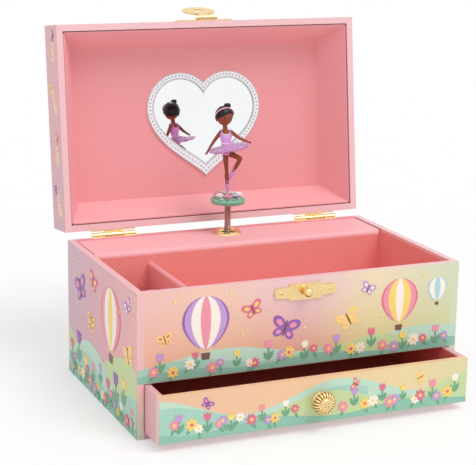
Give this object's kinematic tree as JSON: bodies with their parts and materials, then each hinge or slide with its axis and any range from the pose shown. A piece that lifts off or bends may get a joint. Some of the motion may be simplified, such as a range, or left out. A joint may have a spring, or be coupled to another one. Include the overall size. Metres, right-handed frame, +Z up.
{
  "type": "musical jewellery box",
  "caption": "Musical jewellery box with a hinged lid, heart mirror, pop-up turning dancer, lined tray with ring rolls, front drawer, hasp and wind-up movement.",
  "frame": {"origin": "middle of the underside of the box", "axes": "+X to the right seen from the front, +Y to the back, +Z up; the front faces -Y"},
  "size_m": [0.2, 0.2047, 0.2179],
  "materials": {
    "printed_board": "printed paper wrap over board",
    "plain_board": "bare board",
    "drawer_board": "pink paper outside, dark red inside",
    "pink_lining": "pink paper over card",
    "ring_roll_fabric": "flocked fabric over foam",
    "brass": "bright antique brass",
    "movement_casting": "zinc casting",
    "mirror_glass": "plain mirror",
    "mirror_border": "silvered beaded border",
    "flower_base": "moulded mint base with flowers",
    "doll": "painted moulded doll",
    "tutu": "glossy lilac",
    "steel": "bright steel"
  },
  "bodies": {
    "box": {"back_wall": "printed_board", "base_board": "printed_board", "bedplate_screws": "steel", "clasp_nails": "brass", "clasp_plate": "brass", "clasp_stud": "brass", "comb_screws": "steel", "deck_cleats": "plain_board", "deck_grommet": "brass", "front_panel": "printed_board", "hinge_box_leaves": "brass", "hinge_box_screws": "brass", "hinge_pins": "brass", "left_wall": "printed_board", "movement_bedplate": "movement_casting", "music_comb": "steel", "music_deck_front": "pink_lining", "music_deck_top": "pink_lining", "right_wall": "printed_board", "ring_rolls": "ring_roll_fabric", "spring_housing": "movement_casting", "tray_divider": "pink_lining", "tray_floor": "plain_board", "tray_lining": "pink_lining"},
    "lid": {"hasp_nails": "brass", "hasp_pin": "brass", "hasp_plate": "brass", "heart_mirror": "mirror_glass", "hinge_lid_leaves": "brass", "hinge_lid_screws": "brass", "lid_back_wall": "printed_board", "lid_front_wall": "printed_board", "lid_left_wall": "printed_board", "lid_lining_panel": "pink_lining", "lid_lining_sides": "pink_lining", "lid_right_wall": "printed_board", "lid_top_panel": "printed_board", "mirror_border": "mirror_border"},
    "hasp": {"hasp_tongue": "brass"},
    "drawer": {"drawer_back": "drawer_board", "drawer_bottom": "drawer_board", "drawer_front": "printed_board", "drawer_knob": "brass", "drawer_left_side": "drawer_board", "drawer_right_side": "drawer_board", "knob_screw": "steel"},
    "stem": {"popup_stem": "steel"},
    "dancer": {"figure_base": "flower_base", "ballerina_figure": "doll", "ballerina_tutu": "tutu"},
    "cylinder": {"pinned_cylinder": "brass", "cylinder_arbor": "steel"},
    "key": {"great_wheel": "brass", "winding_arbor": "steel", "windup_key": "steel"},
    "fly": {"governor_fly": "brass"}
  },
  "joints": [
    {"name": "lid_hinge", "type": "hinge", "parent": "box", "child": "lid", "pos_m": [0, 0.0664, 0.0836], "axis": [1, 0, 0], "range_deg": [0, 96.9]},
    {"name": "hasp_pivot", "type": "hinge", "parent": "lid", "child": "hasp", "pos_m": [0, 0.08838, 0.2136], "axis": [1, 0, 0], "range_deg": [0, 163]},
    {"name": "drawer_slide", "type": "slide", "parent": "box", "child": "drawer", "axis": [0, -1, 0], "range_m": [-0.0218, 0.07]},
    {"name": "stem_fold", "type": "hinge", "parent": "box", "child": "stem", "pos_m": [0, 0.0469, 0.09335], "axis": [1, 0, 0], "range_deg": [0, 100.1], "deforming": ["popup_stem"]},
    {"name": "cylinder_spin", "type": "hinge", "parent": "box", "child": "cylinder", "pos_m": [0, 0.0497, 0.066], "axis": [0, 0, 1], "continuous": true},
    {"name": "dancer_spin", "type": "hinge", "parent": "stem", "child": "dancer", "pos_m": [0, 0.0497, 0.103], "axis": [0, 0, 1], "continuous": true},
    {"name": "key_turn", "type": "hinge", "parent": "box", "child": "key", "pos_m": [0, 0.0575, 0.0464], "axis": [0, 1, 0], "continuous": true},
    {"name": "fly_spin", "type": "hinge", "parent": "box", "child": "fly", "pos_m": [-0.011, 0.0497, 0.066], "axis": [0, 0, 1], "continuous": true}
  ],
  "couplings": [
    {"joint": "stem_fold", "follows": "lid_hinge", "ratio": 1.032},
    {"joint": "dancer_spin", "follows": "cylinder_spin", "ratio": 1},
    {"joint": "key_turn", "follows": "cylinder_spin", "ratio": -0.29412},
    {"joint": "fly_spin", "follows": "cylinder_spin", "ratio": -3.4}
  ]
}
